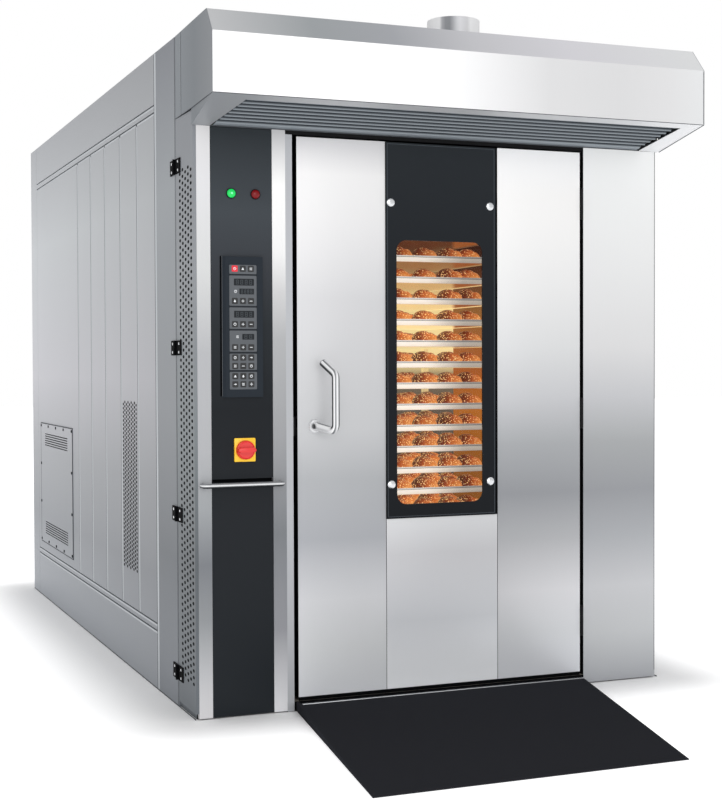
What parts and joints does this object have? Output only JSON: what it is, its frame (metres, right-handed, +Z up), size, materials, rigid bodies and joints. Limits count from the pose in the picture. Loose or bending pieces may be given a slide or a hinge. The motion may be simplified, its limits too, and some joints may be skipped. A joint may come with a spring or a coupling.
{
  "type": "rotating rack oven",
  "caption": "Insulated rotating rack oven with hinged glazed door, perforated service door, canopy, control post and a wheeled rack hung from a spindle.",
  "frame": {"origin": "on the floor under the centre of the body's width and depth, the canopy and ramp left out", "axes": "+X to the right seen from the front, +Y from the door towards the back, +Z up"},
  "size_m": [1.938, 4.535, 2.631],
  "materials": {
    "body_panel": "smooth light grey enamel with a soft sheen",
    "front_steel": "satin stainless sheet",
    "bright_strip": "satin stainless sheet",
    "dark_panel": "dark grey satin enamel",
    "floor_board": "matt insulated tile",
    "wool": "mineral wool",
    "chamber_steel": "heat-tinted stainless",
    "heater_tube": "dark oxidised tube",
    "motor_paint": "painted casting",
    "plain_steel": "plain satin steel",
    "dark_steel": "black enamel",
    "door_glass": "dark tinted glass",
    "clear_glass": "clear glass",
    "seal_rubber": "silicone rubber",
    "keypad_blue": "blue-black satin plastic",
    "keypad_grey": "matt grey film",
    "lamp_lens": "clear coloured lens",
    "switch_yellow": "yellow plastic",
    "switch_red": "red plastic",
    "relay_plastic": "grey plastic",
    "lamp_cover": "frosted glass",
    "castor_tread": "heat-resistant resin",
    "flue_steel": "satin stainless tube",
    "tray_steel": "baked-in aluminium"
  },
  "bodies": {
    "body": {"floor_slab": "floor_board", "left_cladding": "body_panel", "right_cladding": "body_panel", "right_post_panel": "front_steel", "rear_panel": "body_panel", "roof_panel": "body_panel", "access_cover": "body_panel", "cover_screws": "plain_steel", "insulation": "wool", "chamber_liner": "chamber_steel", "heater_bank": "heater_tube", "fan_motor": "motor_paint", "steam_generator": "chamber_steel", "cable_gland": "relay_plastic", "chamber_lamp": "lamp_cover", "hood_shell": "front_steel", "hood_cheeks": "body_panel", "hood_baffle": "dark_steel", "flue_collar": "flue_steel", "post_strips": "bright_strip", "control_panels": "dark_panel", "controller_frame": "keypad_blue", "controller_keys": "keypad_grey", "indicator_lamps": "lamp_lens", "switch_plate": "switch_yellow", "grab_bar": "plain_steel", "service_post_leaves": "dark_steel", "electrics": "relay_plastic", "door_surround": "dark_steel", "ramp": "dark_panel", "frame_leaves": "dark_steel", "gearmotor": "motor_paint", "spindle_bearing": "motor_paint"},
    "door": {"door_panels": "front_steel", "door_glass": "door_glass", "door_core": "wool", "door_liner": "plain_steel", "inner_glass": "clear_glass", "glass_studs": "plain_steel", "door_seal": "seal_rubber", "door_leaves": "dark_steel", "handle_collar": "plain_steel"},
    "handle": {"handle_lever": "plain_steel", "latch_cam": "plain_steel"},
    "service_door": {"service_door": "body_panel", "service_door_leaves": "dark_steel"},
    "rack": {"drive_shaft": "plain_steel", "rack_frame": "chamber_steel", "trays": "tray_steel", "castor_forks": "plain_steel"},
    "swivel_left": {"swivel_fork_left": "plain_steel"},
    "swivel_right": {"swivel_fork_right": "plain_steel"},
    "wheel_front_left": {"castor_wheel_front_left": "castor_tread"},
    "wheel_front_right": {"castor_wheel_front_right": "castor_tread"},
    "wheel_rear_left": {"castor_wheel_rear_left": "castor_tread"},
    "wheel_rear_right": {"castor_wheel_rear_right": "castor_tread"},
    "fan": {"fan_shaft": "plain_steel", "fan_wheel": "chamber_steel"},
    "damper": {"flue_damper": "plain_steel"},
    "knob": {"switch_knob": "switch_red"}
  },
  "joints": [
    {"name": "door_swing", "type": "hinge", "parent": "body", "child": "door", "pos_m": [0.608, -1.699, 1], "axis": [0, 0, 1], "range_deg": [0, 110]},
    {"name": "handle_turn", "type": "hinge", "parent": "door", "child": "handle", "pos_m": [-0.505, -1.7, 1.035], "axis": [0, 1, 0], "range_deg": [0, 90]},
    {"name": "service_door_swing", "type": "hinge", "parent": "body", "child": "service_door", "pos_m": [-0.9615, -1.468, 1], "axis": [0, 0, -1], "range_deg": [0, 110]},
    {"name": "rack_spin", "type": "hinge", "parent": "body", "child": "rack", "pos_m": [0, -0.92935, 1], "axis": [0, 0, 1], "continuous": true},
    {"name": "swivel_left_turn", "type": "hinge", "parent": "rack", "child": "swivel_left", "pos_m": [-0.385, -0.67935, 0.15], "axis": [0, 0, 1], "continuous": true},
    {"name": "swivel_right_turn", "type": "hinge", "parent": "rack", "child": "swivel_right", "pos_m": [0.385, -0.67935, 0.15], "axis": [0, 0, 1], "continuous": true},
    {"name": "roll_front_left", "type": "hinge", "parent": "rack", "child": "wheel_front_left", "pos_m": [-0.385, -1.21435, 0.1065], "axis": [1, 0, 0], "continuous": true},
    {"name": "roll_front_right", "type": "hinge", "parent": "rack", "child": "wheel_front_right", "pos_m": [0.385, -1.21435, 0.1065], "axis": [1, 0, 0], "continuous": true},
    {"name": "roll_rear_left", "type": "hinge", "parent": "swivel_left", "child": "wheel_rear_left", "pos_m": [-0.385, -0.64435, 0.1065], "axis": [1, 0, 0], "continuous": true},
    {"name": "roll_rear_right", "type": "hinge", "parent": "swivel_right", "child": "wheel_rear_right", "pos_m": [0.385, -0.64435, 0.1065], "axis": [1, 0, 0], "continuous": true},
    {"name": "fan_spin", "type": "hinge", "parent": "body", "child": "fan", "pos_m": [0, -0.2, 1.3], "axis": [0, 1, 0], "continuous": true},
    {"name": "damper_turn", "type": "hinge", "parent": "body", "child": "damper", "pos_m": [0.223, -1.35, 2.3], "axis": [1, 0, 0], "range_deg": [0, 90]},
    {"name": "switch_turn", "type": "hinge", "parent": "body", "child": "knob", "pos_m": [-0.77, -1.7, 0.955], "axis": [0, 1, 0], "range_deg": [0, 90]}
  ]
}
